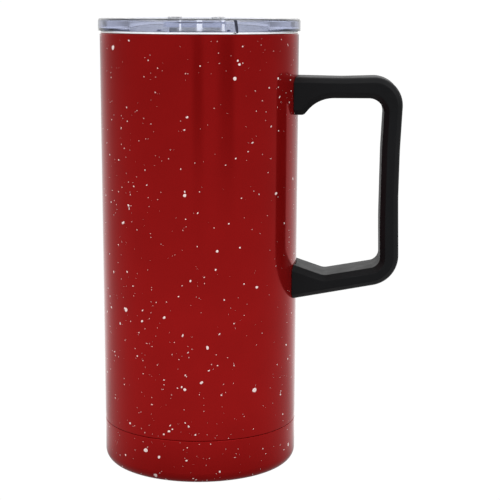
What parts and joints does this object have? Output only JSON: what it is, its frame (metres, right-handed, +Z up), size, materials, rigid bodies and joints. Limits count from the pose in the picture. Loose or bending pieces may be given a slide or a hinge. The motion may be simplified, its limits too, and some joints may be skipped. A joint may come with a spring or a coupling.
{
  "type": "insulated travel mug",
  "caption": "Tall double-walled steel travel mug with a painted body, a black loop handle and a clear press-in lid with a sliding drink cover.",
  "frame": {"origin": "centre of the foot pad's underside, on the cup's axis, in the face the mug stands on", "axes": "+Z up along the cup's axis, +X towards the handle, -Y towards the lid's drink hole"},
  "size_m": [0.1269, 0.0844, 0.19],
  "materials": {
    "red_paint": "glossy, with fine white speckles",
    "polished_steel": "polished stainless steel",
    "screw_steel": "plated screw",
    "foil": "bright foil",
    "black_plastic": "satin moulded plastic",
    "black_rubber": "matt rubber",
    "silicone": "translucent white silicone",
    "clear_plastic": "clear, slightly smoky plastic"
  },
  "bodies": {
    "cup": {"outer_shell": "red_paint", "inner_liner": "polished_steel", "liner_bottom": "polished_steel", "vacuum_bottom": "polished_steel", "getter": "polished_steel", "foil_wrap": "foil", "base_cap": "red_paint", "foot_pad": "black_rubber", "handle": "black_plastic", "mount_upper": "red_paint", "screw_upper": "screw_steel", "plug_upper": "black_rubber", "mount_lower": "red_paint", "screw_lower": "screw_steel", "plug_lower": "black_rubber"},
    "lid": {"lid_body": "clear_plastic", "lid_gasket": "silicone"},
    "drink_cover": {"slider": "clear_plastic", "slider_seal": "silicone", "slider_clip": "clear_plastic"}
  },
  "joints": [
    {"name": "lid_lift", "type": "slide", "parent": "cup", "child": "lid", "axis": [0, 0, 1], "range_m": [0, 0.06]},
    {"name": "cover_slide", "type": "slide", "parent": "lid", "child": "drink_cover", "axis": [0, 1, 0], "range_m": [0, 0.016]}
  ]
}
